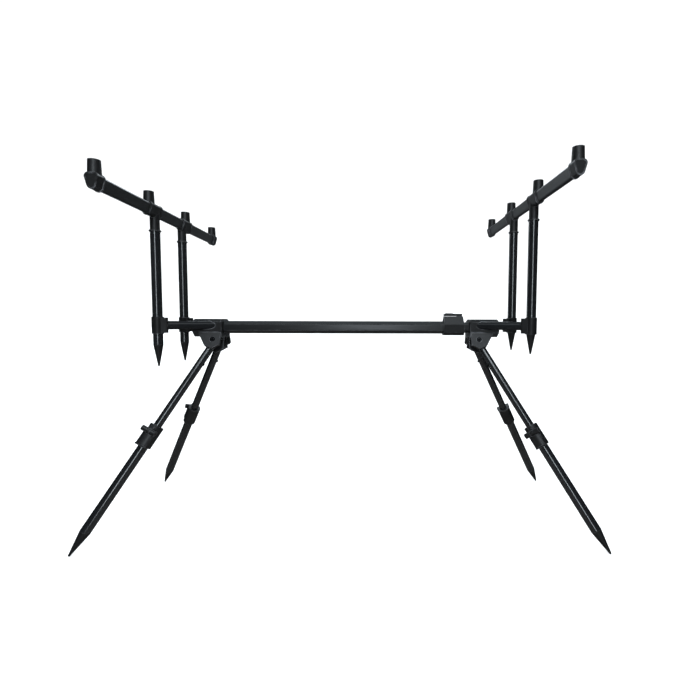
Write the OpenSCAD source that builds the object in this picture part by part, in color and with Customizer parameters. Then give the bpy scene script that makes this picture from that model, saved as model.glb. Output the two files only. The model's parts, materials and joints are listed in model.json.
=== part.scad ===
// Rod pod for four rods: a telescopic main bar on four folding, telescopic legs,
// with a goalpost at each end that carries a four-post buzz bar.
// +X runs along the main bar to the right, +Y to the rear, +Z up. The tips of the feet lie on Z = 0.

/* [Stance] */
// Height of the main bar's axis above the ground
bar_z = 384; // [320:1:460]
// Distance from the middle of the part to each leg's pivot, along the main bar
pivot_x = 262; // [240:1:320]
// Distance from the middle of the part to each leg's pivot, across the main bar
pivot_y = 19.3; // [18:0.1:22]
// Distance of the leg pivots below the main bar's axis
pivot_drop = 29; // [28:0.5:32]
// Lean of the legs towards the front and the rear
leg_lean = 24; // [18:0.5:28]
// Spread of the open legs towards the ends
leg_splay = 27; // [20:0.5:32]

/* [Main bar] */
// Width and height of the outer bar
bar_w = 25; // [23:0.5:27]
// Size of the cut on the outer bar's corners
bar_cut = 6; // [4:0.5:8]
// Wall of both bars
bar_wall = 1.6; // [1:0.1:2.2]
// Clearance between the outer and the inner bar
bar_gap = 0.3; // [0.2:0.05:0.6]
// Depth of each bar in its end block
bar_seat = 16; // [12:1:16]
// Length of the inner bar
inner_len = 430; // [300:5:460]
// Length of the plastic glide on the hidden end of the inner bar
glide_len = 12; // [8:1:20]

/* [Main bar lock] */
// Length of the lock along the bar
lock_len = 41; // [36:1:50]
// Free stretch of inner bar between the lock and the right block
lock_park = 10; // [8.5:0.5:30]
// Wall of the lock around the outer bar, at the sides and below
lock_wall = 3.2; // [2.5:0.1:5]
// Height of the lock's roof above the top of the outer bar
lock_roof = 10; // [8:0.5:12]
// Width of the lock's roof
lock_roof_w = 17; // [16:0.5:22]
// Depth of the outer bar in the lock
lock_seat = 23; // [16:1:24]
// Radius of the main lever's cam
main_cam_r = 5; // [4:0.25:5.5]
// Thickness of the main lever's paddle
main_paddle_t = 6; // [4:0.5:9]
// Radius of the main lever's pin
main_pin_r = 2; // [1.5:0.1:2.5]

/* [End blocks] */
// Reach of each block from the leg pivots towards the middle
block_in = 16; // [14:0.5:20]
// Reach of each block from the leg pivots towards its end
block_out = 41; // [38:0.5:50]
// Height of the block's top above the main bar's axis
block_top = 16.5; // [15.5:0.5:20]
// Thickness of the leaning cheeks that cover the legs' knuckles
cheek_t = 6; // [5:0.25:8]
// Radius of the hinge bolts
bolt_r = 3; // [2.5:0.1:3.5]
// Radius of the hinge bolts' heads
bolt_head_r = 5.3; // [4.5:0.1:6]
// Height of the hinge bolts' heads
bolt_head_h = 3; // [2:0.25:3.5]

/* [Arms and sockets] */
// Distance from the middle of the part to the uprights, along the main bar
upright_x = 354; // [335:1:400]
// Distance from the middle of the part to the uprights, across the main bar
upright_y = 60; // [52:1:70]
// Diameter of the round arms
arm_d = 16.5; // [12:0.5:16.5]
// Height of the arms' axes above the main bar's axis
arm_rise = 4; // [2:0.5:6]
// Wall of the upright sockets
socket_wall = 1.8; // [1.6:0.1:3]
// Height of the upright sockets
socket_h = 32; // [26:1:40]
// Reach of the socket's boss towards the arm, from the upright's axis
boss_len = 18; // [17:0.5:24]
// Width of the socket's boss around the arm
boss_w = 19; // [18.5:0.5:20]
// Height of the socket's boss
boss_h = 29; // [20:1:32]
// Radius of the thumbscrews that hold the uprights
screw_r = 3; // [2:0.1:3.5]
// Radius of the thumbscrews' heads
screw_head_r = 6; // [5:0.25:7]
// Length of the thumbscrews' heads
screw_head_len = 9; // [6:0.5:12]

/* [Legs] */
// Outside diameter of the upper leg tubes
upper_d = 15; // [13:0.5:16]
// Wall of the upper leg tubes
upper_wall = 1.2; // [0.8:0.1:2]
// Wall of the lower leg tubes
lower_wall = 1.3; // [0.8:0.1:2]
// Clearance between the upper and the lower leg tubes
tube_gap = 0.2; // [0.15:0.05:0.4]
// Distance from the pivot to the middle of the leg lock
lock_at = 209; // [190:1:230]
// Length of upper tube below the middle of the leg lock
upper_tail = 48; // [36:1:54]
// Length of the legs' spikes
spike_len = 40; // [30:1:50]
// Radius of the spikes' tips
tip_r = 2; // [1:0.25:3]
// Thickness of the knuckles along the hinge axis
knuckle_t = 16; // [14:0.5:17]

/* [Leg locks] */
// Length of the lock collars
collar_len = 42; // [38:1:52]
// Wall of the lock collars around the lower tube
collar_wall = 3.8; // [3:0.1:5]
// Radius of the levers' cams
cam_r = 5; // [4:0.25:6]
// Width of the levers' cams
cam_w = 28; // [22:0.5:29]
// Width of the levers' paddles
paddle_w = 20; // [14:0.5:22]
// Thickness of the levers' paddles
paddle_t = 5; // [3.5:0.25:6]
// Height of the levers' pins above the middle of the collar
pin_rise = 7.5; // [4:0.5:11]
// Radius of the levers' pins
pin_r = 2; // [1.5:0.1:2.5]
// Turn of the left front leg's lock from straight outwards towards the left
left_front_turn = -3; // [-30:1:40]
// Turn of the left rear leg's lock
left_rear_turn = 26; // [-30:1:40]
// Turn of the right front leg's lock
right_front_turn = 36; // [-30:1:40]
// Turn of the right rear leg's lock
right_rear_turn = 0; // [-30:1:40]

/* [Goalposts] */
// Height of the left buzz bar's axis above the main bar's axis
left_rise = 214.5; // [140:0.5:230]
// Height of the right buzz bar's axis above the main bar's axis
right_rise = 238; // [140:1:240]
// Outside diameter of the uprights
upright_d = 17.8; // [16:0.1:20]
// Wall of the uprights
upright_wall = 1.2; // [0.8:0.1:2]
// Length of the upright tubes
upright_len = 211; // [208:1:240]
// Length of the uprights' spikes
upright_spike = 39; // [30:1:50]
// Diameter of the flange at the top of the uprights
flange_d = 21.5; // [20.5:0.5:26]
// Thickness of that flange
flange_t = 2.5; // [2:0.25:6]

/* [Buzz bars] */
// Distance between the first and the last post
post_span = 480; // [420:2:520]
// Distance between the two middle posts
mid_span = 160; // [140:2:180]
// Width of the buzz bar
buzz_w = 16.5; // [15.5:0.5:22]
// Height of the buzz bar
buzz_h = 20.5; // [19:0.5:28]
// Wall of the buzz bar
buzz_wall = 1.5; // [1:0.1:2]
// Wall of the caps and brackets around the buzz bar
shell = 1.8; // [1.5:0.1:3]
// Height of the rims around the ends of the caps and brackets
rim = 0.7; // [0.4:0.1:1.2]
// Height of the posts above their caps and brackets
post_h = 19.5; // [18.5:0.5:28]
// Diameter of the posts at their foot
post_foot_d = 19; // [18.5:0.25:22]
// Diameter of the posts at their top
post_top_d = 17.5; // [16.5:0.25:18.5]
// Outside diameter of the threaded inserts in the posts
insert_d = 12.5; // [11:0.25:13]
// Radius of the threaded hole in the inserts, at the thread's crests
thread_r = 4.2; // [3:0.1:4.8]
// Length of the threaded inserts
insert_len = 17; // [12:0.5:17.5]
// Length of the sockets below the middle brackets, from the buzz bar's axis
bracket_drop = 34; // [30:0.5:40]
// Radius of the studs that hold the uprights in those sockets
stud_r = 4.7; // [4:0.1:5.5]
// Length of those studs
stud_len = 16; // [10:0.5:17]

/* [Hidden] */
$fn = 48;

LEFT = -1;
RIGHT = 1;
FRONT = -1;
REAR = 1;

black = [0.07, 0.075, 0.08];
charcoal = [0.16, 0.165, 0.175];
brass = [0.72, 0.58, 0.32];
steel = [0.3, 0.31, 0.33];

// Clearances: between glued or pressed pieces, a sliding tube, a turning pin, and pieces that pass each other
seat_gap = 0.05;
slide_gap = 0.1;
pin_gap = 0.05;
pass_gap = 0.5;
// How far a cutting shape runs past what it cuts
past = 1;

// Bars
bar_in = bar_w - 2 * bar_wall;
inner_w = bar_in - 2 * bar_gap;
corner_share = 2 - sqrt(2);
inner_cut = bar_cut - corner_share * (bar_wall + bar_gap);
block_face = pivot_x - block_in;
lock_x1 = block_face - lock_park;
lock_x0 = lock_x1 - lock_len;
// Width of the lines along the outer bar
line_w = 0.9;

// Main lock, seen along the bar
lock_half_w = bar_w / 2 + lock_wall;
lock_bottom = -bar_w / 2 - lock_wall;
lock_eave = bar_w / 4;
lock_ridge = bar_w / 2 + lock_roof;
lock_toe = 5.5;
lock_taper = 2;
main_ear_gap = 0.4;
main_cam_w = lock_roof_w - 6;
main_pin_end = 2.2;
main_pin_z = inner_w / 2 + main_cam_r + pass_gap;
main_pin_x = lock_x1 - main_cam_r - 3;
paddle_z = lock_ridge + pass_gap;
thumb_ridges = 5;
ridge_h = 1;

// Legs: the hinge frame lies in the leaning plane through the pivot
pivot_z = bar_z - pivot_drop;
upper_r = upper_d / 2;
lower_in = upper_r + tube_gap;
lower_r = lower_in + lower_wall;
collar_r = lower_r + collar_wall;
leg_len = (pivot_z - tip_r) / (cos(leg_lean) * cos(leg_splay));
spike_at = leg_len - spike_len;
upper_end = lock_at + upper_tail;
tube_start = knuckle_t * 0.75;
// How far the lower tube reaches into the collar, above its middle
lower_reach = 10;
lower_start = lock_at - lower_reach;
plug_len = 12;
knuckle_r = upper_r + 0.5;
// The knuckle is a little narrower below its eye than the tube
neck_step = 0.4;
knuckle_plug = 28;
slot_h = max(knuckle_t / 2, upper_r) + pass_gap;
slot_top = knuckle_r + pass_gap + 0.2;
stop_gap = 0.3;

// Leg levers, seen along the leg with the lever on +X
lever_gap = 0.4;
pin_out = collar_r + cam_r + lever_gap;
lug_t = 7;
lug_r = cam_r - 0.5;
lug_rib = 3;
lip = 1.5;
lip_h = 3;

// End block, in the hinge frame: u outwards to the block's end, v down
cheek_out = slot_h + cheek_t;
crease_v = 21.3;
ledge_v = 11.3;
cheek_outline = [
  [-block_in + 1, -crease_v], [-block_in + 1, 10.7], [0, 19.2], [15, 12.5],
  [28, -ledge_v], [28, -crease_v]
];
wedge_outline = [
  [-block_in + 4, -crease_v], [-block_in + 4, 4], [-block_in + 7, 8.5], [5, 13], [14, 9],
  [27, -ledge_v], [27, -crease_v]
];
// Half the width of the block's upright sides, where the cheeks' outer faces meet them
crease_z = pivot_z + crease_v * cos(leg_lean);
block_half_w = pivot_y + (cheek_out - (crease_z - pivot_z) * sin(leg_lean)) / cos(leg_lean);
block_bottom = pivot_z + ledge_v * cos(leg_lean);
block_roof = bar_z + block_top;
ledge_cut = 4.5;
roof_cut = 6;
roof_end_cut = 3;
// Width of the line that parts the block's sides from its cheeks
crease_w = 1.3;
wedge_reach = 60;
bolt_end = slot_h + 7;
// Room around the bolts' heads, and how far they lie below the cheeks' faces
head_gap = 0.3;
head_sink = 0.5;

// Arms run in plan from a root in the block to the uprights
arm_r = arm_d / 2;
arm_z = bar_z + arm_rise;
arm_root_x = pivot_x - 1;
arm_root_y = block_half_w - arm_r + 0.6;
arm_dx = upright_x - arm_root_x;
arm_dy = upright_y - arm_root_y;
arm_turn = atan2(arm_dy, arm_dx);
arm_span = sqrt(arm_dx * arm_dx + arm_dy * arm_dy);

// Sockets
upright_r = upright_d / 2;
socket_in = upright_r + slide_gap;
socket_r = socket_in + socket_wall;
arm_stop = socket_r + 1.8;
screw_pad_r = screw_r + 3;
screw_pad_len = socket_r + 3.5;
screw_tip = upright_r + 0.3;
screw_flutes = 8;
flute_r = 1.4;

// Goalposts: heights below are from the buzz bar's axis
flange_top = -bracket_drop;
tube_top = flange_top - flange_t;
tube_bottom = tube_top - upright_len;
stud_plug = 20;
spike_tip_r = 1.8;

// Buzz bar outline: three rounded corners, two above and one below
buzz_corner_r = 4;
buzz_keel_r = 5;
cap_over = post_foot_d / 2 + 0.3;
cap_end = post_span / 2 + cap_over;
cap_len = 19;
rim_len = 2.5;
cap_seat = 10;
bar_end = cap_end - cap_len + cap_seat;
cap_dish = 1;
bracket_out = mid_span / 2 + post_foot_d / 2 + 2;
socket_foot_r = upright_r - 0.3;
bracket_in = upright_y - socket_foot_r - 2.5;
shell_top = buzz_h / 2 + shell;

function arc(x, y, r, from, to, steps = 6) = [
  for (i = [0 : steps]) let (a = from + (to - from) * i / steps) [x + r * cos(a), y + r * sin(a)]
];

// Outline of the buzz bar, grown outwards by an even margin
function shield(grow) =
  let (
    top_x = buzz_w / 2 - buzz_corner_r,
    top_y = buzz_h / 2 - buzz_corner_r,
    keel_y = -buzz_h / 2 + buzz_keel_r,
    apart = sqrt(top_x * top_x + (top_y - keel_y) * (top_y - keel_y)),
    flank = atan2(top_y - keel_y, top_x) - acos((buzz_keel_r - buzz_corner_r) / apart)
  )
  concat(
    arc(top_x, top_y, buzz_corner_r + grow, flank, 90),
    arc(-top_x, top_y, buzz_corner_r + grow, 90, 180 - flank),
    arc(0, keel_y, buzz_keel_r + grow, 180 - flank, 360 + flank)
  );

// Square with cut corners, the section of the main bars
function cut_square(w, cut) =
  let (h = w / 2, c = h - cut)
  [[c, -h], [h, -c], [h, c], [c, h], [-c, h], [-h, c], [-h, -c], [-c, -h]];

function round_end_box(x0, x1, half, r) = concat(
  [[x0, -half]],
  arc(x1 - r, -half + r, r, -90, 0),
  arc(x1 - r, half - r, r, 0, 90),
  [[x0, half]]
);

// Points of the leaning outlines for one end of the part
function hinge_points(end, outline) = [for (p = outline) [end * p[0], -p[1]]];

module along_x(x0, x1) {
  translate([x0, 0, 0])
    rotate([90, 0, 90])
      linear_extrude(x1 - x0)
        children();
}

module along_y(y0, y1) {
  translate([0, y1, 0])
    rotate([90, 0, 0])
      linear_extrude(y1 - y0)
        children();
}

module rod_y(r, y0, y1) {
  translate([0, y1, 0])
    rotate([90, 0, 0])
      cylinder(r = r, h = y1 - y0);
}

module tube(r_out, r_in, z0, z1) {
  translate([0, 0, z0])
    difference() {
      cylinder(r = r_out, h = z1 - z0);
      translate([0, 0, -past])
        cylinder(r = r_in, h = z1 - z0 + 2 * past);
    }
}

// Frame of one hinge: +Z up in the leaning plane, Y along the hinge axis
module hinge_frame(end, side) {
  translate([end * pivot_x, side * pivot_y, pivot_z])
    rotate([side * leg_lean, 0, 0])
      children();
}

// Frame of one leg: the leg runs from the pivot along -Z
module leg_frame(end, side) {
  hinge_frame(end, side)
    rotate([0, -end * leg_splay, 0])
      children();
}

function lock_turn(end, side) =
  end == LEFT
    ? (side == FRONT ? left_front_turn : left_rear_turn)
    : (side == FRONT ? right_front_turn : right_rear_turn);

// Frame of one leg lock: its middle at the origin, its lever on +X
module lock_frame(end, side) {
  leg_frame(end, side)
    translate([0, 0, -lock_at])
      rotate([0, 0, side * (90 + lock_turn(end, side))])
        children();
}

// A plate in the hinge frame, between two distances outwards along the hinge axis
module hinge_plate(end, side, out_0, out_1, outline) {
  hinge_frame(end, side)
    along_y(min(side * out_0, side * out_1), max(side * out_0, side * out_1))
      polygon(hinge_points(end, outline));
}

// Frame of one arm: from the upright's axis, +X towards the block
module arm_frame(end, side) {
  translate([end * upright_x, side * upright_y, arm_z])
    rotate([0, 0, end > 0 ? 180 + side * arm_turn : -side * arm_turn])
      children();
}

module arm_rod(end, side, r, from, to) {
  arm_frame(end, side)
    translate([from, 0, 0])
      rotate([0, 90, 0])
        cylinder(r = r, h = to - from);
}

// The room that a leg's knuckle and tube need, from closed against the stop to folded along the bar
module knuckle_slot(end, side) {
  reach = 80;
  stop = upper_r + stop_gap;
  stop_top = (slot_top - stop * sin(leg_splay)) / cos(leg_splay);
  outline = [
    [-reach, -slot_top],
    [stop * cos(leg_splay) - stop_top * sin(leg_splay), -slot_top],
    [stop * cos(leg_splay) + reach * sin(leg_splay), reach * cos(leg_splay) - stop * sin(leg_splay)],
    [-reach, reach * cos(leg_splay)]
  ];
  hinge_plate(end, side, -slot_h, slot_h, outline);
  hinge_frame(end, side)
    rod_y(slot_top, -slot_h, slot_h);
}

module block_body(end) {
  side_view = [
    [-block_in, block_bottom],
    [block_out - ledge_cut, block_bottom],
    [block_out, block_bottom + 2 * ledge_cut],
    [block_out, block_roof - roof_cut],
    [block_out - roof_end_cut, block_roof],
    [-block_in + roof_end_cut, block_roof],
    [-block_in, block_roof - roof_cut]
  ];
  end_view = [
    [-block_half_w, block_bottom],
    [block_half_w, block_bottom],
    [block_half_w, block_roof - roof_cut],
    [block_half_w - roof_cut, block_roof],
    [-block_half_w + roof_cut, block_roof],
    [-block_half_w, block_roof - roof_cut]
  ];
  intersection() {
    translate([end * pivot_x, 0, 0])
      along_y(-block_half_w, block_half_w)
        polygon([for (p = side_view) [end * p[0], p[1]]]);
    along_x(end * pivot_x - block_out - block_in, end * pivot_x + block_out + block_in)
      polygon(end_view);
  }
}

// Half of the wedge between the two legs, just past the middle plane
module wedge(end, side) {
  overlap = 0.5;
  intersection() {
    hinge_plate(end, side, -wedge_reach, -slot_h, wedge_outline);
    translate([end * pivot_x - 2 * block_out, side > 0 ? -overlap : -wedge_reach, 0])
      cube([4 * block_out, wedge_reach + overlap, block_roof]);
  }
}

module end_block(end, bar_size, bar_corner) {
  color(charcoal)
    difference() {
      union() {
        block_body(end);
        for (side = [FRONT, REAR]) {
          hinge_plate(end, side, -slot_h - past, cheek_out, cheek_outline);
          wedge(end, side);
        }
      }
      for (side = [FRONT, REAR]) {
        knuckle_slot(end, side);
        hinge_frame(end, side) {
          rod_y(
            bolt_r + seat_gap,
            side > 0 ? -bolt_end : -cheek_out - past,
            side > 0 ? cheek_out + past : bolt_end
          );
          rod_y(
            bolt_head_r + head_gap,
            side > 0 ? cheek_out - bolt_head_h - head_sink : -cheek_out - past,
            side > 0 ? cheek_out + past : -cheek_out + bolt_head_h + head_sink
          );
        }
        arm_rod(end, side, arm_r + seat_gap, boss_len, arm_span);
        translate([0, side * block_half_w, crease_z])
          along_x(end * pivot_x - block_out - past, end * pivot_x + block_out + past)
            rotate(45)
              square(crease_w, center = true);
      }
      translate([0, 0, bar_z])
        along_x(
          end > 0 ? block_face - past : -block_face - bar_seat,
          end > 0 ? block_face + bar_seat : -block_face + past
        )
          polygon(cut_square(bar_size + 2 * seat_gap, bar_corner + corner_share * seat_gap));
    }
}

module hinge_bolts(end) {
  key_r = bolt_head_r * 0.55;
  color(steel)
    for (side = [FRONT, REAR])
      hinge_frame(end, side)
        mirror([0, side > 0 ? 0 : 1, 0])
          difference() {
            union() {
              rod_y(bolt_r, -bolt_end, cheek_out - bolt_head_h);
              rod_y(bolt_head_r, cheek_out - bolt_head_h - head_sink, cheek_out - head_sink);
            }
            translate([0, cheek_out + past, 0])
              rotate([90, 0, 0])
                cylinder(r = key_r, h = bolt_head_h * 0.6 + past + head_sink, $fn = 6);
          }
}

module bar_tube(w, cut, x0, x1) {
  color(black)
    translate([0, 0, bar_z])
      along_x(x0, x1)
        difference() {
          polygon(cut_square(w, cut));
          polygon(cut_square(w - 2 * bar_wall, cut - corner_share * bar_wall));
          children();
        }
}

// The outer bar has a shallow line along each side face, next to its cut corners
module outer_main_bar() {
  line_z = bar_w / 2 - bar_cut - line_w;
  bar_tube(bar_w, bar_cut, -block_face - bar_seat, lock_x0 + lock_seat)
    for (y = [-1, 1])
      for (z = [-1, 1])
        translate([y * bar_w / 2, z * line_z])
          rotate(45)
            square(line_w, center = true);
}

module inner_main_bar() {
  bar_tube(inner_w, inner_cut, block_face + bar_seat - inner_len, block_face + bar_seat);
}

module inner_bar_glide() {
  end_x = block_face + bar_seat - inner_len;
  flange_w = bar_in - 2 * slide_gap;
  plug_w = inner_w - 2 * bar_wall - 2 * seat_gap;
  plug_cut = inner_cut - corner_share * (bar_wall + seat_gap);
  color(charcoal)
    translate([0, 0, bar_z]) {
      along_x(end_x - glide_len, end_x)
        polygon(cut_square(flange_w, inner_cut + corner_share * (bar_gap - slide_gap)));
      along_x(end_x - past, end_x + glide_len)
        polygon(cut_square(plug_w, plug_cut));
    }
}

module main_lock_collar() {
  end_view = [
    [-lock_half_w + lock_toe, lock_bottom], [lock_half_w - lock_toe, lock_bottom],
    [lock_half_w, lock_bottom + lock_toe], [lock_half_w, lock_eave],
    [lock_roof_w / 2, lock_ridge], [-lock_roof_w / 2, lock_ridge],
    [-lock_half_w, lock_eave], [-lock_half_w, lock_bottom + lock_toe]
  ];
  side_view = [
    [lock_x0, lock_bottom], [lock_x1, lock_bottom], [lock_x1, lock_eave],
    [lock_x1 - lock_taper, lock_ridge], [lock_x0 + lock_taper, lock_ridge], [lock_x0, lock_eave]
  ];
  cam_room = main_cam_w / 2 + main_ear_gap;
  throat_w = inner_w + 2 * slide_gap;
  color(charcoal)
    translate([0, 0, bar_z])
      difference() {
        intersection() {
          along_x(lock_x0, lock_x1)
            polygon(end_view);
          along_y(-lock_half_w, lock_half_w)
            polygon(side_view);
        }
        along_x(lock_x0 - past, lock_x0 + lock_seat)
          polygon(cut_square(bar_w + 2 * seat_gap, bar_cut + corner_share * seat_gap));
        along_x(lock_x0, lock_x1 + past)
          polygon(cut_square(throat_w, inner_cut + corner_share * slide_gap));
        translate([main_pin_x - main_cam_r - 2, -cam_room, 0])
          cube([lock_len, 2 * cam_room, lock_ridge + past]);
        translate([main_pin_x, 0, main_pin_z])
          rod_y(main_pin_r + seat_gap, -main_cam_w / 2 - main_pin_end - seat_gap, lock_half_w);
      }
}

module main_lock_pin() {
  color(steel)
    translate([main_pin_x, 0, bar_z + main_pin_z])
      rod_y(main_pin_r, -main_cam_w / 2 - main_pin_end, main_cam_w / 2 + main_pin_end);
}

module main_lock_lever() {
  paddle_x0 = lock_x0 + lock_taper;
  paddle_x1 = main_pin_x - main_cam_r - 2;
  paddle_top = paddle_z + main_paddle_t - ridge_h;
  ridge_pitch = 3;
  color(charcoal)
    translate([0, 0, bar_z])
      difference() {
        union() {
          translate([main_pin_x, 0, main_pin_z])
            rod_y(main_cam_r, -main_cam_w / 2, main_cam_w / 2);
          translate([main_pin_x - main_cam_r, -main_cam_w / 2, main_pin_z])
            cube([2 * main_cam_r, main_cam_w, paddle_top - main_pin_z]);
          translate([paddle_x0 + main_cam_w, -main_cam_w / 2, paddle_z])
            cube([main_pin_x - paddle_x0 - main_cam_w, main_cam_w, paddle_top - paddle_z]);
          along_y(-lock_roof_w / 2, lock_roof_w / 2)
            polygon([
              [paddle_x0, paddle_z], [paddle_x1, paddle_z], [paddle_x1, paddle_top - 1],
              [paddle_x1 - 1, paddle_top], [paddle_x0 + 1, paddle_top], [paddle_x0, paddle_top - 1]
            ]);
          for (i = [0 : thumb_ridges - 1])
            translate([paddle_x0 + 3 + i * ridge_pitch, -lock_roof_w / 2 + 1, paddle_z + past])
              cube([ridge_h + 0.4, lock_roof_w - 2, main_paddle_t - past]);
        }
        translate([main_pin_x, 0, main_pin_z])
          rod_y(main_pin_r + pin_gap, -main_cam_w, main_cam_w);
      }
}

module arms(end) {
  color(black)
    for (side = [FRONT, REAR])
      arm_rod(end, side, arm_r, arm_stop, arm_span);
}

// Position of one thumbscrew: +Y from the upright's axis towards the middle plane
module screw_frame(end, side) {
  translate([end * upright_x, side * upright_y, arm_z])
    rotate([0, 0, side > 0 ? 180 : 0])
      children();
}

module sockets(end) {
  color(charcoal)
    for (side = [FRONT, REAR])
      difference() {
        union() {
          translate([end * upright_x, side * upright_y, arm_z - socket_h / 2])
            cylinder(r = socket_r, h = socket_h);
          arm_frame(end, side)
            translate([0, 0, -boss_h / 2])
              linear_extrude(boss_h)
                polygon(round_end_box(0, boss_len, boss_w / 2, 3));
          screw_frame(end, side)
            rod_y(screw_pad_r, 0, screw_pad_len);
        }
        translate([end * upright_x, side * upright_y, arm_z - socket_h / 2 - past])
          cylinder(r = socket_in, h = socket_h + 2 * past);
        arm_rod(end, side, arm_r + seat_gap, arm_stop, boss_len + past);
        screw_frame(end, side)
          rod_y(screw_r + pin_gap, 0, screw_pad_len + past);
      }
}

module thumbscrew(end, side) {
  head_at = screw_pad_len + pass_gap;
  color(black)
    screw_frame(end, side)
      difference() {
        union() {
          rod_y(screw_r, screw_tip, head_at + past);
          rod_y(screw_head_r, head_at, head_at + screw_head_len);
        }
        for (i = [0 : screw_flutes - 1])
          rotate([0, i * 360 / screw_flutes, 0])
            translate([screw_head_r + flute_r / 2, 0, 0])
              rod_y(flute_r, head_at - past, head_at + screw_head_len + past);
      }
}

module leg_knuckle(end, side) {
  color(charcoal)
    leg_frame(end, side)
      difference() {
        union() {
          rod_y(knuckle_r, -knuckle_t / 2, knuckle_t / 2);
          translate([0, 0, -tube_start])
            cylinder(r = min(upper_r, knuckle_t / 2) - neck_step, h = tube_start);
          translate([0, 0, -tube_start - knuckle_plug])
            cylinder(r = upper_r - upper_wall - seat_gap, h = knuckle_plug + past);
        }
        rod_y(bolt_r + pin_gap, -knuckle_t, knuckle_t);
      }
}

module leg_upper_tube(end, side) {
  color(black)
    leg_frame(end, side)
      tube(upper_r, upper_r - upper_wall, -upper_end, -tube_start);
}

module leg_lower_tube(end, side) {
  color(black)
    leg_frame(end, side)
      tube(lower_r, lower_in, -spike_at, -lower_start);
}

module leg_spike(end, side) {
  color(charcoal)
    leg_frame(end, side) {
      translate([0, 0, -leg_len])
        cylinder(r1 = tip_r, r2 = lower_r, h = spike_len);
      translate([0, 0, -leg_len])
        sphere(r = tip_r);
      translate([0, 0, -spike_at - past])
        cylinder(r = lower_in - seat_gap, h = plug_len + past);
    }
}

module leg_collar(end, side) {
  half = collar_len / 2;
  color(charcoal)
    lock_frame(end, side)
      difference() {
        union() {
          translate([0, 0, -half])
            cylinder(r = collar_r, h = collar_len);
          translate([0, -lug_t / 2, pin_rise - lug_r])
            cube([pin_out, lug_t, 2 * lug_r]);
          translate([pin_out, 0, pin_rise])
            rod_y(lug_r, -lug_t / 2, lug_t / 2);
          translate([0, -lug_t / 2, pin_rise])
            cube([collar_r + lug_rib, lug_t, half - pin_rise]);
        }
        translate([0, 0, -half - past])
          cylinder(r = upper_r + slide_gap, h = collar_len + 2 * past);
        translate([0, 0, -half - past])
          cylinder(r = lower_r + seat_gap, h = half + past + lower_reach);
        translate([pin_out, 0, pin_rise])
          rod_y(pin_r + seat_gap, -cam_w, cam_w);
      }
}

module leg_pin(end, side) {
  color(steel)
    lock_frame(end, side)
      translate([pin_out, 0, pin_rise])
        rod_y(pin_r, -cam_w / 2, cam_w / 2);
}

module leg_lever(end, side) {
  foot = -collar_len / 2 - 1;
  back = collar_r + lever_gap;
  lug_room = lug_t + 2 * lever_gap;
  color(black)
    lock_frame(end, side)
      difference() {
        union() {
          translate([pin_out, 0, pin_rise])
            rod_y(cam_r, -cam_w / 2, cam_w / 2);
          intersection() {
            translate([0, -paddle_w / 2, foot])
              cube([back + paddle_t, paddle_w, pin_rise - foot]);
            translate([0, 0, foot])
              cylinder(r = back + paddle_t, h = pin_rise - foot);
          }
          translate([back, -paddle_w / 2 + 1, foot])
            cube([paddle_t + lip, paddle_w - 2, lip_h]);
        }
        translate([0, 0, foot - past])
          cylinder(r = back, h = collar_len + 2 * past);
        translate([pin_out, 0, pin_rise]) {
          rod_y(pin_r + pin_gap, -cam_w, cam_w);
          rod_y(cam_r + lever_gap, -lug_room / 2, lug_room / 2);
        }
        translate([0, -lug_room / 2, pin_rise - lug_r - lever_gap])
          cube([pin_out, lug_room, collar_len]);
      }
}

function buzz_z(end) = bar_z + (end > 0 ? right_rise : left_rise);

// Frame of one goalpost: the middle of its buzz bar's axis
module goalpost_frame(end) {
  translate([end * upright_x, 0, buzz_z(end)])
    children();
}

module buzz_bar(end) {
  color(black)
    goalpost_frame(end)
      along_y(-bar_end, bar_end)
        difference() {
          polygon(shield(0));
          polygon(shield(-buzz_wall));
        }
}

module post(y) {
  root = 3;
  taper = (post_foot_d - post_top_d) / post_h;
  translate([0, y, shell_top - root])
    cylinder(d1 = post_foot_d + root * taper, d2 = post_top_d, h = post_h + root);
}

module insert_seat(y) {
  translate([0, y, shell_top + post_h - insert_len])
    cylinder(d = insert_d + 2 * seat_gap, h = insert_len + past);
}

module end_caps(end) {
  color(charcoal)
    goalpost_frame(end)
      for (side = [FRONT, REAR])
        mirror([0, side > 0 ? 0 : 1, 0])
          difference() {
            union() {
              along_y(cap_end - cap_len, cap_end)
                polygon(shield(shell));
              along_y(cap_end - cap_len, cap_end - cap_len + rim_len)
                polygon(shield(shell + rim));
              post(post_span / 2);
            }
            along_y(cap_end - cap_len - past, bar_end)
              polygon(shield(seat_gap));
            along_y(cap_end - cap_dish, cap_end + past)
              polygon(shield(0));
            insert_seat(post_span / 2);
          }
}

module brackets(end) {
  color(charcoal)
    goalpost_frame(end)
      for (side = [FRONT, REAR])
        mirror([0, side > 0 ? 0 : 1, 0])
          difference() {
            union() {
              along_y(bracket_in, bracket_out)
                polygon(shield(shell));
              for (y = [bracket_in, bracket_out - rim_len])
                along_y(y, y + rim_len)
                  polygon(shield(shell + rim));
              post(mid_span / 2);
              translate([0, upright_y, -bracket_drop])
                cylinder(r = socket_foot_r, h = bracket_drop);
            }
            along_y(bracket_in - past, bracket_out + past)
              polygon(shield(seat_gap));
            insert_seat(mid_span / 2);
            translate([0, upright_y, -bracket_drop - past])
              cylinder(r = stud_r + seat_gap, h = stud_len + 2 * past);
          }
}

module thread_inserts(end) {
  color(brass)
    goalpost_frame(end)
      for (y = [-post_span, -mid_span, mid_span, post_span])
        translate([0, y / 2, 0])
          tube(insert_d / 2, thread_r, shell_top + post_h - insert_len, shell_top + post_h);
}

module uprights(end) {
  color(black)
    goalpost_frame(end)
      for (side = [FRONT, REAR])
        translate([0, side * upright_y, 0])
          tube(upright_r, upright_r - upright_wall, tube_bottom, tube_top);
}

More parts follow.
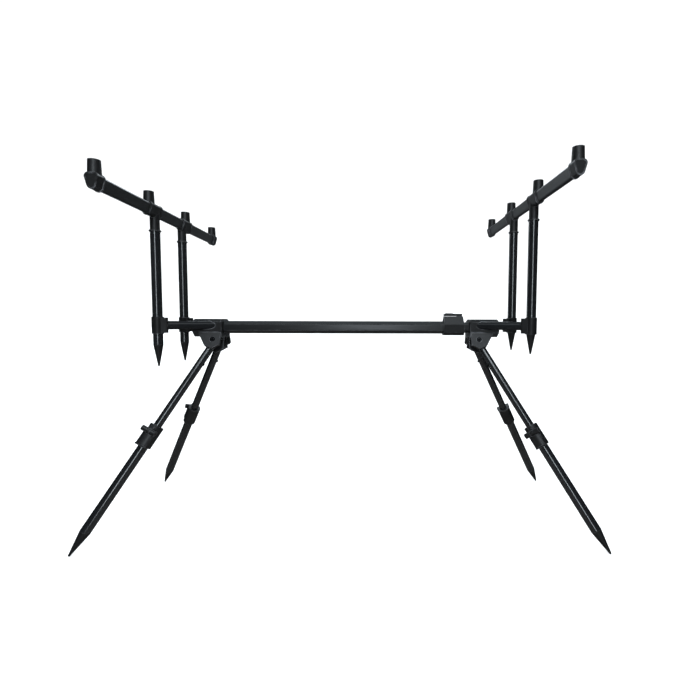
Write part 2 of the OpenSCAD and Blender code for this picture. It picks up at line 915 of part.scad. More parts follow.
module upright_studs(end) {
  color(charcoal)
    goalpost_frame(end)
      for (side = [FRONT, REAR])
        translate([0, side * upright_y, 0]) {
          translate([0, 0, tube_top])
            cylinder(d = flange_d, h = flange_t);
          translate([0, 0, flange_top - past])
            cylinder(r = stud_r, h = stud_len + past);
          translate([0, 0, tube_top - stud_plug])
            cylinder(r = upright_r - upright_wall - seat_gap, h = stud_plug + past);
        }
}

module upright_spikes(end) {
  color(charcoal)
    goalpost_frame(end)
      for (side = [FRONT, REAR])
        translate([0, side * upright_y, tube_bottom]) {
          translate([0, 0, -upright_spike])
            cylinder(r1 = spike_tip_r, r2 = upright_r, h = upright_spike);
          translate([0, 0, -upright_spike])
            sphere(r = spike_tip_r);
          translate([0, 0, -past])
            cylinder(r = upright_r - upright_wall - seat_gap, h = plug_len + past);
        }
}

end_block(LEFT, bar_w, bar_cut);  // left_end_block
outer_main_bar();
main_lock_collar();
main_lock_pin();
main_lock_lever();
arms(LEFT);  // left_arms
sockets(LEFT);  // left_sockets
hinge_bolts(LEFT);  // left_hinge_bolts
end_block(RIGHT, inner_w, inner_cut);  // right_end_block
inner_main_bar();
inner_bar_glide();
arms(RIGHT);  // right_arms
sockets(RIGHT);  // right_sockets
hinge_bolts(RIGHT);  // right_hinge_bolts
thumbscrew(LEFT, FRONT);  // left_front_thumbscrew
thumbscrew(LEFT, REAR);  // left_rear_thumbscrew
thumbscrew(RIGHT, FRONT);  // right_front_thumbscrew
thumbscrew(RIGHT, REAR);  // right_rear_thumbscrew
leg_knuckle(LEFT, FRONT);  // left_front_leg_knuckle
leg_upper_tube(LEFT, FRONT);  // left_front_leg_upper_tube
leg_lower_tube(LEFT, FRONT);  // left_front_leg_lower_tube
leg_collar(LEFT, FRONT);  // left_front_leg_collar
leg_pin(LEFT, FRONT);  // left_front_leg_pin
leg_lever(LEFT, FRONT);  // left_front_leg_lever
leg_spike(LEFT, FRONT);  // left_front_leg_spike
leg_knuckle(LEFT, REAR);  // left_rear_leg_knuckle
leg_upper_tube(LEFT, REAR);  // left_rear_leg_upper_tube
leg_lower_tube(LEFT, REAR);  // left_rear_leg_lower_tube
leg_collar(LEFT, REAR);  // left_rear_leg_collar
leg_pin(LEFT, REAR);  // left_rear_leg_pin
leg_lever(LEFT, REAR);  // left_rear_leg_lever
leg_spike(LEFT, REAR);  // left_rear_leg_spike
leg_knuckle(RIGHT, FRONT);  // right_front_leg_knuckle
leg_upper_tube(RIGHT, FRONT);  // right_front_leg_upper_tube
leg_lower_tube(RIGHT, FRONT);  // right_front_leg_lower_tube
leg_collar(RIGHT, FRONT);  // right_front_leg_collar
leg_pin(RIGHT, FRONT);  // right_front_leg_pin
leg_lever(RIGHT, FRONT);  // right_front_leg_lever
leg_spike(RIGHT, FRONT);  // right_front_leg_spike
leg_knuckle(RIGHT, REAR);  // right_rear_leg_knuckle
leg_upper_tube(RIGHT, REAR);  // right_rear_leg_upper_tube
leg_lower_tube(RIGHT, REAR);  // right_rear_leg_lower_tube
leg_collar(RIGHT, REAR);  // right_rear_leg_collar
leg_pin(RIGHT, REAR);  // right_rear_leg_pin
leg_lever(RIGHT, REAR);  // right_rear_leg_lever
leg_spike(RIGHT, REAR);  // right_rear_leg_spike
buzz_bar(LEFT);  // left_buzz_bar
end_caps(LEFT);  // left_end_caps
brackets(LEFT);  // left_brackets
thread_inserts(LEFT);  // left_thread_inserts
uprights(LEFT);  // left_uprights
upright_studs(LEFT);  // left_upright_studs
upright_spikes(LEFT);  // left_upright_spikes
buzz_bar(RIGHT);  // right_buzz_bar
end_caps(RIGHT);  // right_end_caps
brackets(RIGHT);  // right_brackets
thread_inserts(RIGHT);  // right_thread_inserts
uprights(RIGHT);  // right_uprights
upright_studs(RIGHT);  // right_upright_studs
upright_spikes(RIGHT);  // right_upright_spikes
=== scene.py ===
# %% [markdown]
# # Dressing a rod pod
# The pod is a black metal stand for fishing rods: a bar that slides in and out, four folding legs
# and two goalposts. The shapes come from a CAD model, which is loaded here as a fixed frame.
# Blender's work is what a drawing can't show: how anodised tube, moulded nylon and blackened steel
# look, how edges are rounded and rubbed, and the small fastenings that nobody draws.

# %% Load the frame
import json
import math

import bmesh
import bpy
from mathutils import Matrix, Vector


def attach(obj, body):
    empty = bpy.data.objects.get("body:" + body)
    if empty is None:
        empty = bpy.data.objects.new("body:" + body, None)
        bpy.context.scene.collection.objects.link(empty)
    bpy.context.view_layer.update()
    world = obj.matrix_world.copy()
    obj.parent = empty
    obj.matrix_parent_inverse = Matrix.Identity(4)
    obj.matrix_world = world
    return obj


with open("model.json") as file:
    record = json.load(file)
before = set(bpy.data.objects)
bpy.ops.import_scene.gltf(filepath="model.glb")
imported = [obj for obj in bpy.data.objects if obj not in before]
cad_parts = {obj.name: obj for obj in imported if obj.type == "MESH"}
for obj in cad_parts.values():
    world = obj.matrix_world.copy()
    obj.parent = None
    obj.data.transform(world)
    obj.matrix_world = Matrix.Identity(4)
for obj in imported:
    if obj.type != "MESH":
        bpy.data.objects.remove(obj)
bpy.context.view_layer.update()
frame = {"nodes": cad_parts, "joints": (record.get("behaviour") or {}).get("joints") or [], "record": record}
nodes = frame["nodes"]
joints = {joint["name"]: joint for joint in frame["joints"]}
slot_of = {piece["node"]: piece["material_slot"] for piece in frame["record"]["subparts"]}

# %% [markdown]
# ## Where things are
# A piece that sits on a leaning leg needs that leg's own directions. They are all in the joints of
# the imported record: the fold joint gives the pivot and the hinge axis, and the slide joint gives
# the line of the leg. Reading them there is safer than typing the angles a second time.

# %% Directions of the legs
LEGS = ("left_front", "left_rear", "right_front", "right_rear")


def leg_axes(leg):
    fold = joints[leg + "_leg_fold"]
    up = Vector(joints[leg + "_leg_slide"]["axis"]).normalized()
    hinge = Vector(fold["axis"]).normalized()
    # Folding turns the leg about the hinge, so this is the side of the leg that meets the bar
    inward = hinge.cross(-up).normalized()
    return Vector(fold["pos_m"]), up, inward


for leg in LEGS:
    pivot, up, inward = leg_axes(leg)
    print(leg, "pivot", [round(c, 3) for c in pivot], "inward", [round(c, 2) for c in inward])

# %% [markdown]
# ## Building node groups
# Rubbed edges, grain and uneven sheen turn up in every finish, so each is made once as a node group
# and placed in the materials with its own values. A group only puts out masks and heights. The
# shader itself stays in the material, where an exporter can find it. A few helpers keep the wiring
# short: one makes an empty group, and the others make a node and link or set its inputs.

# %% An empty group, and links into a socket
FLOAT = "NodeSocketFloat"
VECTOR = "NodeSocketVector"


def new_group(name, inputs, outputs):
    group = bpy.data.node_groups.new(name, "ShaderNodeTree")
    for label, kind, value in inputs:
        socket = group.interface.new_socket(label, in_out="INPUT", socket_type=kind)
        socket.default_value = value
    for label, kind in outputs:
        group.interface.new_socket(label, in_out="OUTPUT", socket_type=kind)
    return group, group.nodes.new("NodeGroupInput"), group.nodes.new("NodeGroupOutput")


def join(tree, source, target):
    tree.links.new(source, target)


def feed(tree, value, socket):
    if isinstance(value, (int, float)):
        socket.default_value = value
    else:
        join(tree, value, socket)


print("a group's sockets can be", FLOAT, "or", VECTOR)


# %% Nodes that work on numbers, directions and places
def math_node(tree, operation, first, second):
    made = tree.nodes.new("ShaderNodeMath")
    made.operation = operation
    feed(tree, first, made.inputs[0])
    feed(tree, second, made.inputs[1])
    return made.outputs[0]


def vector_node(tree, operation, first, second, second_input=1):
    made = tree.nodes.new("ShaderNodeVectorMath")
    made.operation = operation
    join(tree, first, made.inputs[0])
    join(tree, second, made.inputs[second_input])
    return made


def remap(tree, value, low, high, to_low=0.0, to_high=1.0):
    made = tree.nodes.new("ShaderNodeMapRange")
    for label, number in (("From Min", low), ("From Max", high), ("To Min", to_low), ("To Max", to_high)):
        made.inputs[label].default_value = number
    join(tree, value, made.inputs["Value"])
    return made.outputs["Result"]


def noise_node(tree, where, scale, detail):
    made = tree.nodes.new("ShaderNodeTexNoise")
    made.inputs["Detail"].default_value = detail
    join(tree, where, made.inputs["Vector"])
    feed(tree, scale, made.inputs["Scale"])
    return made


def object_place(tree):
    return tree.nodes.new("ShaderNodeTexCoord").outputs["Object"]


print("four kinds of node: math, vector, map range and noise")

# %% [markdown]
# ### Rubbed edges
# Handling polishes the corners first. The Bevel node gives the normal that a rounded corner would
# have, and where that differs from the real normal there is an edge. A noise breaks the line up, so
# that it looks rubbed and not outlined.

# %% The edge rub group
FLAT_AGREES, CORNER_AGREES = 0.995, 0.86
UNTOUCHED_BELOW, RUBBED_ABOVE = 0.38, 0.66


def make_edge_rub():
    group, into, out = new_group(
        "edge_rub",
        [("Radius", FLOAT, 0.0008), ("Patch Scale", FLOAT, 60.0), ("Amount", FLOAT, 1.0)],
        [("Mask", FLOAT)],
    )
    rounded = group.nodes.new("ShaderNodeBevel")
    rounded.samples = 4
    join(group, into.outputs["Radius"], rounded.inputs["Radius"])
    surface = group.nodes.new("ShaderNodeNewGeometry")
    agree = vector_node(group, "DOT_PRODUCT", rounded.outputs["Normal"], surface.outputs["Normal"])
    edge = remap(group, agree.outputs["Value"], FLAT_AGREES, CORNER_AGREES)
    patches = noise_node(group, object_place(group), into.outputs["Patch Scale"], 4.0)
    broken = remap(group, patches.outputs["Fac"], UNTOUCHED_BELOW, RUBBED_ABOVE)
    rubbed = math_node(group, "MULTIPLY", edge, broken)
    join(group, math_node(group, "MULTIPLY", rubbed, into.outputs["Amount"]), out.inputs["Mask"])
    return group


edge_rub = make_edge_rub()
print("group", edge_rub.name)

# %% [markdown]
# ### Moulded grain
# Nylon mouldings carry the spark-eroded grain of their mould: fine, even and matte, with slow
# changes of tone where the plastic flowed. A fine noise with pits gives the one, and a broad noise
# the other.

# %% The moulded grain group
PIT_REACH, PIT_FLOOR = 0.7, 0.55
# A noise seldom leaves the middle of its range, so that part is stretched to the whole
NOISE_LOW, NOISE_HIGH = 0.3, 0.7


def make_moulded_grain():
    group, into, out = new_group(
        "moulded_grain",
        [("Grain Scale", FLOAT, 1600.0), ("Flow Scale", FLOAT, 28.0)],
        [("Height", FLOAT), ("Flow", FLOAT)],
    )
    place = object_place(group)
    fine = noise_node(group, place, into.outputs["Grain Scale"], 3.0)
    fine.inputs["Roughness"].default_value = 0.65
    pits = group.nodes.new("ShaderNodeTexVoronoi")
    join(group, place, pits.inputs["Vector"])
    join(group, into.outputs["Grain Scale"], pits.inputs["Scale"])
    hollows = remap(group, pits.outputs["Distance"], 0.0, PIT_REACH, PIT_FLOOR, 1.0)
    join(group, math_node(group, "MULTIPLY", fine.outputs["Fac"], hollows), out.inputs["Height"])
    flow = noise_node(group, place, into.outputs["Flow Scale"], 5.0)
    join(group, remap(group, flow.outputs["Fac"], NOISE_LOW, NOISE_HIGH), out.inputs["Flow"])
    return group


moulded_grain = make_moulded_grain()
print("group", moulded_grain.name)

# %% [markdown]
# ### Drawn grain
# Tube is drawn or extruded through a die, which leaves hair-fine lines along its length that
# anodising doesn't hide. The group takes the tube's direction, squeezes the position along it and
# feeds a noise, so the noise comes out as long streaks. Each tube direction gets its own material.

# %% The drawn grain group
SHEEN_SCALE = 35.0


def make_drawn_grain():
    group, into, out = new_group(
        "drawn_grain",
        [("Along", VECTOR, (0.0, 0.0, 1.0)), ("Line Scale", FLOAT, 900.0), ("Stretch", FLOAT, 0.985)],
        [("Lines", FLOAT), ("Sheen", FLOAT)],
    )
    place = object_place(group)
    along = into.outputs["Along"]
    share = vector_node(group, "DOT_PRODUCT", place, along)
    taken = math_node(group, "MULTIPLY", share.outputs["Value"], into.outputs["Stretch"])
    shift = vector_node(group, "SCALE", along, taken, "Scale")
    squeezed = vector_node(group, "SUBTRACT", place, shift.outputs["Vector"]).outputs["Vector"]
    lines = noise_node(group, squeezed, into.outputs["Line Scale"], 2.0)
    join(group, lines.outputs["Fac"], out.inputs["Lines"])
    sheen = noise_node(group, squeezed, SHEEN_SCALE, 3.0)
    join(group, remap(group, sheen.outputs["Fac"], NOISE_LOW, NOISE_HIGH), out.inputs["Sheen"])
    return group


drawn_grain = make_drawn_grain()
print("group", drawn_grain.name)

# %% [markdown]
# ## Finishes
# Every finish follows one plan: a base colour that shifts a little, a lighter rubbed colour at the
# edges, a roughness that varies with the grain, and a bump. The helpers lay that out and each
# finish fills in its own numbers. Values that are the same all over are set on the shader itself.

# %% Helpers for the finishes
# The Mix node keeps its colour sockets behind those for numbers and vectors
MIX_COLOURS, MIXED_COLOUR = (6, 7), 2


def blank_finish(name):
    made = bpy.data.materials.new(name)
    made.use_nodes = True
    tree = made.node_tree
    return made, tree, tree.nodes["Principled BSDF"]


def add_group(tree, group, **values):
    made = tree.nodes.new("ShaderNodeGroup")
    made.node_tree = group
    for label, value in values.items():
        made.inputs[label.replace("_", " ")].default_value = value
    return made


def mix_colour(tree, factor, first, second):
    made = tree.nodes.new("ShaderNodeMix")
    made.data_type = "RGBA"
    join(tree, factor, made.inputs[0])
    for index, value in zip(MIX_COLOURS, (first, second)):
        if isinstance(value, tuple):
            made.inputs[index].default_value = (*value, 1.0)
        else:
            join(tree, value, made.inputs[index])
    return made.outputs[MIXED_COLOUR]


def add_bump(tree, shader, height, strength, distance):
    bump = tree.nodes.new("ShaderNodeBump")
    bump.inputs["Strength"].default_value = strength
    bump.inputs["Distance"].default_value = distance
    join(tree, height, bump.inputs["Height"])
    join(tree, bump.outputs["Normal"], shader.inputs["Normal"])


def tinted(levels, tint):
    return [tuple(level * part for part in tint) for level in levels]


print("finishes can use", [group.name for group in bpy.data.node_groups])

# %% [markdown]
# ### Anodised tube
# Black anodising is dyed oxide: almost black, faintly blue, with a gloss that stretches into one
# pale streak along each round tube. The other skins differ only in how rough they are and how much
# they mirror: the eight-sided bar is extruded and takes a broad soft glow on its flat faces, the
# buzz bars are satin, and the arms of the blocks are dull. All are dielectric, so Metallic is left
# at zero.

# %% Anodised tube
TUBE_DARK, TUBE_PALE = (0.0042, 0.0048, 0.0054), (0.0072, 0.0080, 0.0088)
TUBE_RUBBED = (0.10, 0.102, 0.105)
LINES_LOW, LINES_HIGH = 0.25, 0.75
# Each skin has its lowest and highest roughness, and its specular level
SMOOTH = (0.13, 0.19, 0.85)
EXTRUDED = (0.27, 0.35, 0.5)
SATIN = (0.30, 0.38, 0.95)
DULL = (0.18, 0.24, 0.12)
tube_finish = {}


def anodised_tube(name, along, low_rough, high_rough, sheen):
    made, tree, shader = blank_finish(name)
    grain = add_group(tree, drawn_grain, Along=along)
    rub = add_group(tree, edge_rub, Radius=0.0009, Patch_Scale=90.0, Amount=0.55)
    tone = mix_colour(tree, grain.outputs["Sheen"], TUBE_DARK, TUBE_PALE)
    join(tree, mix_colour(tree, rub.outputs["Mask"], tone, TUBE_RUBBED), shader.inputs["Base Color"])
    gloss = remap(tree, grain.outputs["Lines"], LINES_LOW, LINES_HIGH, low_rough, high_rough)
    join(tree, gloss, shader.inputs["Roughness"])
    shader.inputs["Specular IOR Level"].default_value = sheen
    add_bump(tree, shader, grain.outputs["Lines"], 0.12, 0.00004)
    return made


def tube_finish_along(direction, skin):
    along = tuple(round(c, 3) for c in Vector(direction).normalized())
    if (along, skin) not in tube_finish:
        tube_finish[along, skin] = anodised_tube("anodised_tube_%d" % len(tube_finish), along, *skin)
    return tube_finish[along, skin]


for direction, skin in (((1, 0, 0), EXTRUDED), ((0, 1, 0), SATIN), ((0, 0, 1), SMOOTH)):
    print("tube finish", tube_finish_along(direction, skin).name, "along", direction)

# %% [markdown]
# ### Moulded nylon
# The blocks, brackets and caps are glass-filled nylon: charcoal where the tubes are black, matte,
# and paler along the edges. The sockets and the main lock mirror less, and the levers and spikes
# have a tighter mould finish. It is the same stuff each time, so one function makes all four.

# %% Moulded nylon
SLATE = (0.95, 1.0, 1.08)
GRAIN_LOW, GRAIN_HIGH = 0.2, 0.7
ROUGH_SPREAD, ROUGH_LOST_BY_RUBBING = 0.07, 0.18


def moulded_nylon(name, levels, rough, grain_scale, bump, sheen=0.36):
    dark, pale, rubbed = tinted(levels, SLATE)
    made, tree, shader = blank_finish(name)
    grain = add_group(tree, moulded_grain, Grain_Scale=grain_scale)
    rub = add_group(tree, edge_rub, Radius=0.0011, Patch_Scale=70.0, Amount=0.7)
    tone = mix_colour(tree, grain.outputs["Flow"], dark, pale)
    join(tree, mix_colour(tree, rub.outputs["Mask"], tone, rubbed), shader.inputs["Base Color"])
    roughest, smoothest = rough + ROUGH_SPREAD, rough - ROUGH_SPREAD
    fine = remap(tree, grain.outputs["Height"], GRAIN_LOW, GRAIN_HIGH, roughest, smoothest)
    worn = math_node(tree, "MULTIPLY", rub.outputs["Mask"], -ROUGH_LOST_BY_RUBBING)
    join(tree, math_node(tree, "ADD", fine, worn), shader.inputs["Roughness"])
    shader.inputs["Specular IOR Level"].default_value = sheen
    add_bump(tree, shader, grain.outputs["Height"], 0.35, bump)
    return made


# The levels are the darkest and palest tone of the plastic and the tone of its rubbed edges
nylon = moulded_nylon("charcoal_nylon", (0.0035, 0.0066, 0.260), 0.42, 1500.0, 0.00009)
quiet_nylon = moulded_nylon("quiet_nylon", (0.0031, 0.0058, 0.150), 0.42, 1500.0, 0.00009, sheen=0.26)
lever_nylon = moulded_nylon("lever_nylon", (0.0038, 0.0068, 0.150), 0.38, 2100.0, 0.00006)
spike_nylon = moulded_nylon("spike_nylon", (0.0035, 0.0060, 0.080), 0.42, 1800.0, 0.00007)
print("nylons", nylon.name, quiet_nylon.name, lever_nylon.name, spike_nylon.name)

# %% [markdown]
# ### Turned and blackened metal, and brass
# The stud collars are turned on a lathe and dyed, the pins and bolts are blackened steel, and the
# posts hold brass inserts for the alarms' threads. Steel and brass are true metals, so their
# Metallic goes to one, while the dyed collars stay dielectric.

# %% Small metals
GREY = (0.97, 1.0, 1.05)
YELLOW = (1.0, 0.71, 0.28)


def small_metal(name, tint, levels, low_rough, high_rough, metallic):
    dark, pale, rubbed = tinted(levels, tint)
    made, tree, shader = blank_finish(name)
    grain = add_group(tree, moulded_grain, Grain_Scale=2600.0, Flow_Scale=90.0)
    rub = add_group(tree, edge_rub, Radius=0.0006, Patch_Scale=160.0, Amount=0.8)
    tone = mix_colour(tree, grain.outputs["Flow"], dark, pale)
    join(tree, mix_colour(tree, rub.outputs["Mask"], tone, rubbed), shader.inputs["Base Color"])
    gloss = remap(tree, grain.outputs["Flow"], 0.0, 1.0, low_rough, high_rough)
    join(tree, gloss, shader.inputs["Roughness"])
    shader.inputs["Metallic"].default_value = metallic
    add_bump(tree, shader, grain.outputs["Height"], 0.2, 0.00003)
    return made


turned_metal = small_metal("turned_black", GREY, (0.0080, 0.0130, 0.20), 0.24, 0.36, 0.0)
blackened_steel = small_metal("blackened_steel", GREY, (0.004, 0.008, 0.22), 0.32, 0.46, 1.0)
brass = small_metal("machined_brass", YELLOW, (0.50, 0.64, 0.80), 0.22, 0.36, 1.0)
print("small metals", turned_metal.name, blackened_steel.name, brass.name)

# %% [markdown]
# ## Putting the finishes on the frame
# Each node keeps its CAD mesh and gets the finish of its material slot. Tubes also need a skin and
# the way they run: a leg's tubes follow its slide joint, the uprights stand, the buzz bars cross
# the pod, and the bars and arms lie along it.

# %% Finish each node
FINISH = {
    "moulding": nylon,
    "lever": lever_nylon,
    "spike": spike_nylon,
    "turned": turned_metal,
    "insert": brass,
    "fastener": blackened_steel,
}
SKIN = {"main_bar": EXTRUDED, "buzz_bar": SATIN, "arms": DULL}
QUIET = ("lock_collar", "sockets")


def tube_skin(name):
    return next((skin for ending, skin in SKIN.items() if name.endswith(ending)), SMOOTH)


def tube_direction(name):
    for leg in LEGS:
        if name.startswith(leg + "_leg"):
            return leg_axes(leg)[1]
    if name.endswith("uprights"):
        return Vector((0, 0, 1))
    if name.endswith("buzz_bar"):
        return Vector((0, 1, 0))
    return Vector((1, 0, 0))


def finish_of(name):
    if slot_of[name] == "tube":
        return tube_finish_along(tube_direction(name), tube_skin(name))
    return quiet_nylon if name.endswith(QUIET) else FINISH[slot_of[name]]


for name, obj in nodes.items():
    obj.data.materials.clear()
    obj.data.materials.append(finish_of(name))
print("finished", len(nodes), "nodes with", len(bpy.data.materials), "finishes at hand")

# %% [markdown]
# ## Softening the edges
# No real moulding has a knife edge, and a thin rounded edge is what catches the light. The frame's
# meshes may not be edited, but modifiers may be added: Weld joins the seams that the file format
# splits, and Bevel rounds every corner sharper than its angle. The main lock has low creases, so
# its rounding is finer.

# %% Round the corners
ROUNDING = {
    "moulding": 0.0008,
    "lever": 0.0006,
    "spike": 0.0004,
    "turned": 0.0004,
    "insert": 0.0003,
    "fastener": 0.0003,
    "tube": 0.0003,
}
FINE_ROUNDING = {"main_lock_collar": 0.0004, "main_lock_lever": 0.0003}
SEAM = 0.00001
SHARP_FROM = math.radians(18)


def round_corners(obj, width):
    weld = obj.modifiers.new("weld", "WELD")
    weld.merge_threshold = SEAM
    bevel = obj.modifiers.new("round", "BEVEL")
    bevel.width = width
    bevel.segments = 2
    bevel.limit_method = "ANGLE"
    bevel.angle_limit = SHARP_FROM
    smooth = obj.modifiers.new("normals", "WEIGHTED_NORMAL")
    smooth.keep_sharp = True
    for face in obj.data.polygons:
        face.use_smooth = True


for name, obj in nodes.items():
    round_corners(obj, FINE_ROUNDING.get(name, ROUNDING[slot_of[name]]))
print("rounded", len(nodes), "nodes")

# %% [markdown]
# ## Rivets
# A small dome sits on the inner side of each upper leg, just below the block: the rivet that pins
# the tube to its knuckle. A lathe shape is quickest made by spinning its half outline about the
# axis, here a root in the tube, a flat washer and a low crown.

# %% Outline of a rivet
RIVET_RADIUS, RIVET_HEIGHT, RIVET_ROOT = 0.0029, 0.0021, 0.0012
SHANK_RADIUS = RIVET_RADIUS * 0.6
CROWN_RADIUS = RIVET_RADIUS * 0.88
WASHER_FOOT, WASHER_TOP = 0.0002, 0.0006
CROWN_STEPS = 6


def rivet_outline():
    root = [(0.0, -RIVET_ROOT), (SHANK_RADIUS, -RIVET_ROOT), (SHANK_RADIUS, WASHER_FOOT)]
    washer = [(RIVET_RADIUS, WASHER_FOOT), (RIVET_RADIUS, WASHER_TOP)]
    crown = []
    for i in range(CROWN_STEPS):
        a = math.radians(90 * i / CROWN_STEPS)
        rise = (RIVET_HEIGHT - WASHER_TOP) * math.sin(a)
        crown.append((CROWN_RADIUS * math.cos(a), WASHER_TOP + rise))
    return root + washer + crown + [(0.0, RIVET_HEIGHT)]


print("rivet outline", len(rivet_outline()), "points")

# %% Leg rivets
TURN_STEPS = 20
UPPER_TUBE_RADIUS = 0.0075
RIVET_FROM_PIVOT = 0.050


def turned_piece(name, outline, origin, axis, finish):
    mesh = bpy.data.meshes.new(name)
    form = bmesh.new()
    verts = [form.verts.new((r, 0.0, h)) for r, h in outline]
    edges = [form.edges.new((a, b)) for a, b in zip(verts, verts[1:])]
    around = {"cent": (0, 0, 0), "axis": (0, 0, 1), "angle": math.tau}
    bmesh.ops.spin(form, geom=verts + edges, steps=TURN_STEPS, use_merge=True, **around)
    bmesh.ops.remove_doubles(form, verts=form.verts, dist=SEAM)
    bmesh.ops.recalc_face_normals(form, faces=form.faces)
    for face in form.faces:
        face.smooth = True
    form.to_mesh(mesh)
    form.free()
    mesh.materials.append(finish)
    obj = bpy.data.objects.new(name, mesh)
    bpy.context.scene.collection.objects.link(obj)
    turn = Vector((0, 0, 1)).rotation_difference(axis)
    obj.matrix_world = Matrix.Translation(origin) @ turn.to_matrix().to_4x4()
    return obj


for leg in LEGS:
    pivot, up, inward = leg_axes(leg)
    at = pivot - up * RIVET_FROM_PIVOT + inward * UPPER_TUBE_RADIUS
    rivet = turned_piece(leg + "_leg_rivet", rivet_outline(), at, inward, blackened_steel)
    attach(rivet, leg + "_upper_leg")
print("rivets", len(LEGS))

# %% [markdown]
# ## Floor, light and camera
# The pod stands on a pale sweep: a floor that curves up into a wall, so no horizon shows behind the
# thin tubes. The light is soft and comes from large panels, because a black object shows little
# more than what it mirrors.

# %% The sweep
FLOOR_FROM, HALF_WIDTH = -10.0, 12.0
WALL_AT, WALL_TOP = 2.6, 4.5
CURVE_RADIUS, CURVE_STEPS = 1.4, 16
PAPER_DARK, PAPER_PALE = (0.86, 0.86, 0.86), (0.88, 0.88, 0.88)


def pale_paper():
    made, tree, shader = blank_finish("pale_paper")
    mottle = add_group(tree, moulded_grain, Grain_Scale=400.0, Flow_Scale=2.0)
    tone = mix_colour(tree, mottle.outputs["Flow"], PAPER_DARK, PAPER_PALE)
    join(tree, tone, shader.inputs["Base Color"])
    shader.inputs["Roughness"].default_value = 0.9
    shader.inputs["Specular IOR Level"].default_value = 0.1
    return made


def make_sweep():
    curve_from = WALL_AT - CURVE_RADIUS
    line = [(FLOOR_FROM, 0.0), (curve_from, 0.0)]
    for i in range(1, CURVE_STEPS + 1):
        a = math.radians(90 * i / CURVE_STEPS)
        line.append((curve_from + CURVE_RADIUS * math.sin(a), CURVE_RADIUS - CURVE_RADIUS * math.cos(a)))
    line.append((WALL_AT, WALL_TOP))
    mesh = bpy.data.meshes.new("sweep")
    form = bmesh.new()
    left, right = ([form.verts.new((x, y, z)) for y, z in line] for x in (-HALF_WIDTH, HALF_WIDTH))
    for i in range(len(line) - 1):
        form.faces.new((left[i], right[i], right[i + 1], left[i + 1])).smooth = True
    form.to_mesh(mesh)
    form.free()
    mesh.materials.append(pale_paper())
    obj = bpy.data.objects.new("sweep", mesh)
    bpy.context.scene.collection.objects.link(obj)
    return obj


sweep = make_sweep()
sweep.visible_glossy = False
print("sweep", len(sweep.data.polygons), "faces")

# %% [markdown]
# A tall narrow panel in front draws the one pale streak down each round tube, and a wide one above
# it lights the leaning cheeks. Both have a fellow at the rear for views from behind. Two low panels
# at the rear are seen only in the inner flanks of the buzz bars. The floor and zenith panels stand
# for the pale room as it is mirrored in the tubes, so they light nothing directly, and the top panel
# does the opposite. All but the floor's are faintly blue, like the light in the photograph.

# %% Light panels
COOL, WARM = (0.88, 0.97, 1.04), (1.0, 0.98, 0.95)
LOW_MIDDLE, MIDDLE, BAR_LEVEL = (0.0, 0.0, 0.3), (0.0, 0.0, 0.36), (0.0, 0.0, 0.38)
LEFT_GOALPOST, RIGHT_GOALPOST = (-0.35, 0.0, 0.6), (0.35, 0.0, 0.6)
# Each panel has its place, what it faces, its width and height, and its watts
PANELS = {
    "key_panel": ((0.05, -2.0, 0.95), BAR_LEVEL, (0.28, 1.6), 13.0),
    "high_front_panel": ((0.0, -1.5, 2.0), MIDDLE, (2.0, 0.9), 28.0),
    "rear_left_panel": ((-0.25, 1.9, 0.45), RIGHT_GOALPOST, (1.0, 1.2), 0.85),
    "rear_right_panel": ((0.55, 1.9, 0.45), LEFT_GOALPOST, (1.3, 1.2), 0.3),
    "high_rear_panel": ((0.0, 1.6, 2.0), MIDDLE, (2.0, 0.9), 24.0),
    "rear_key_panel": ((-1.5, 1.9, 0.95), BAR_LEVEL, (0.28, 1.6), 7.0),
    "floor_panel": ((0.0, -0.3, 0.003), (0.0, -0.3, 1.0), (1.6, 1.6), 1.1),
    "top_panel": ((-0.5, -0.4, 2.6), LOW_MIDDLE, (2.2, 1.4), 20.0),
    "zenith_panel": ((0.0, 0.0, 2.6), LOW_MIDDLE, (2.2, 1.4), 6.0),
}


def add_panel(name, where, target, size, power):
    lamp = bpy.data.lights.new(name, "AREA")
    lamp.shape = "RECTANGLE"
    lamp.size, lamp.size_y = size
    lamp.energy = power
    lamp.color = COOL
    obj = bpy.data.objects.new(name, lamp)
    bpy.context.scene.collection.objects.link(obj)
    obj.location = where
    obj.rotation_mode = "QUATERNION"
    obj.rotation_quaternion = (Vector(target) - Vector(where)).to_track_quat("-Z", "Y")
    obj.visible_camera = False
    return obj


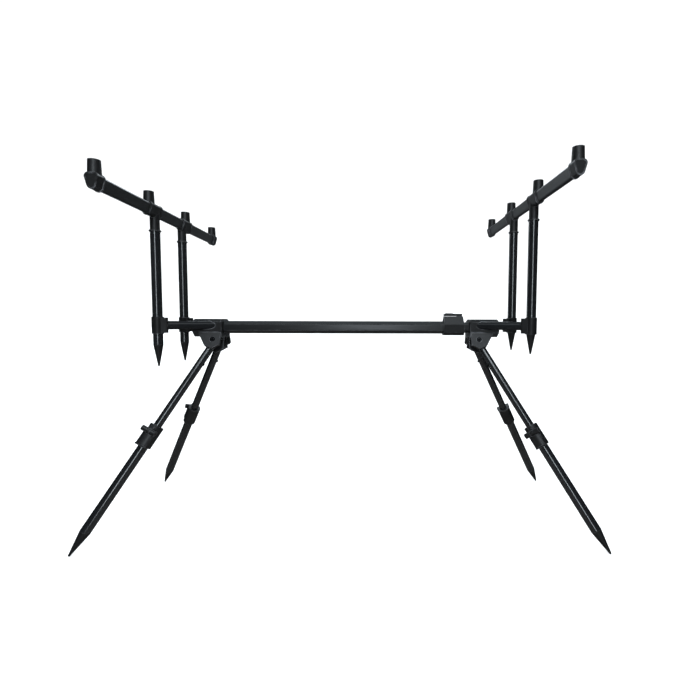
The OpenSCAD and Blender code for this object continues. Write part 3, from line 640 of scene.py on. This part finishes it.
panels = {name: add_panel(name, *how) for name, how in PANELS.items()}
panels["floor_panel"].data.color = WARM
panels["floor_panel"].visible_diffuse = False
panels["zenith_panel"].visible_diffuse = False
panels["top_panel"].visible_glossy = False
print("light panels", len(panels))

# %% [markdown]
# An even white world fills the shadows, so that the paper stays white behind the pod. It isn't
# mirrored, because the panels alone draw the streaks. The Standard view keeps black and white as
# they come from the lights, without a film curve.

# %% World and view
world = bpy.data.worlds.new("studio")
bpy.context.scene.world = world
world.use_nodes = True
background = world.node_tree.nodes["Background"]
background.inputs["Color"].default_value = (1.0, 1.0, 1.0, 1.0)
background.inputs["Strength"].default_value = 1.15
world.cycles_visibility.glossy = False
bpy.context.scene.view_settings.view_transform = "Standard"
print("world strength", round(background.inputs["Strength"].default_value, 2))

# %% [markdown]
# The camera stands a little right of the pod's middle and just above its main bar, close enough
# that the front of the pod looks larger than the rear. The place and the angles were fitted to the
# posts, sockets and feet in the photograph, whose frame is square.

# %% Camera
FOCAL_PX, FRAME_PX = 450.0, 700.0
CENTRE_PX = (378.0, 350.0)
SENSOR_MM = 36.0
CAMERA_AT = (0.05099, -0.91663, 0.39866)
YAW, PITCH, ROLL = -0.01291, 0.06635, 0.00242
camera_data = bpy.data.cameras.new("camera")
camera_data.sensor_fit = "HORIZONTAL"
camera_data.sensor_width = SENSOR_MM
camera_data.lens = SENSOR_MM * FOCAL_PX / FRAME_PX
camera_data.shift_x = (FRAME_PX / 2 - CENTRE_PX[0]) / FRAME_PX
camera_data.shift_y = (CENTRE_PX[1] - FRAME_PX / 2) / FRAME_PX
camera = bpy.data.objects.new("camera", camera_data)
bpy.context.scene.collection.objects.link(camera)
forward = Vector((-math.sin(YAW) * math.cos(PITCH), math.cos(YAW) * math.cos(PITCH), -math.sin(PITCH)))
level = Vector((math.cos(YAW), math.sin(YAW), 0.0))
upward = level.cross(forward)
right = level * math.cos(ROLL) + upward * math.sin(ROLL)
upright = upward * math.cos(ROLL) - level * math.sin(ROLL)
turn = Matrix((right, upright, -forward)).transposed()
camera.matrix_world = Matrix.Translation(CAMERA_AT) @ turn.to_4x4()
bpy.context.scene.camera = camera
print("lens", round(camera_data.lens, 2), "mm")
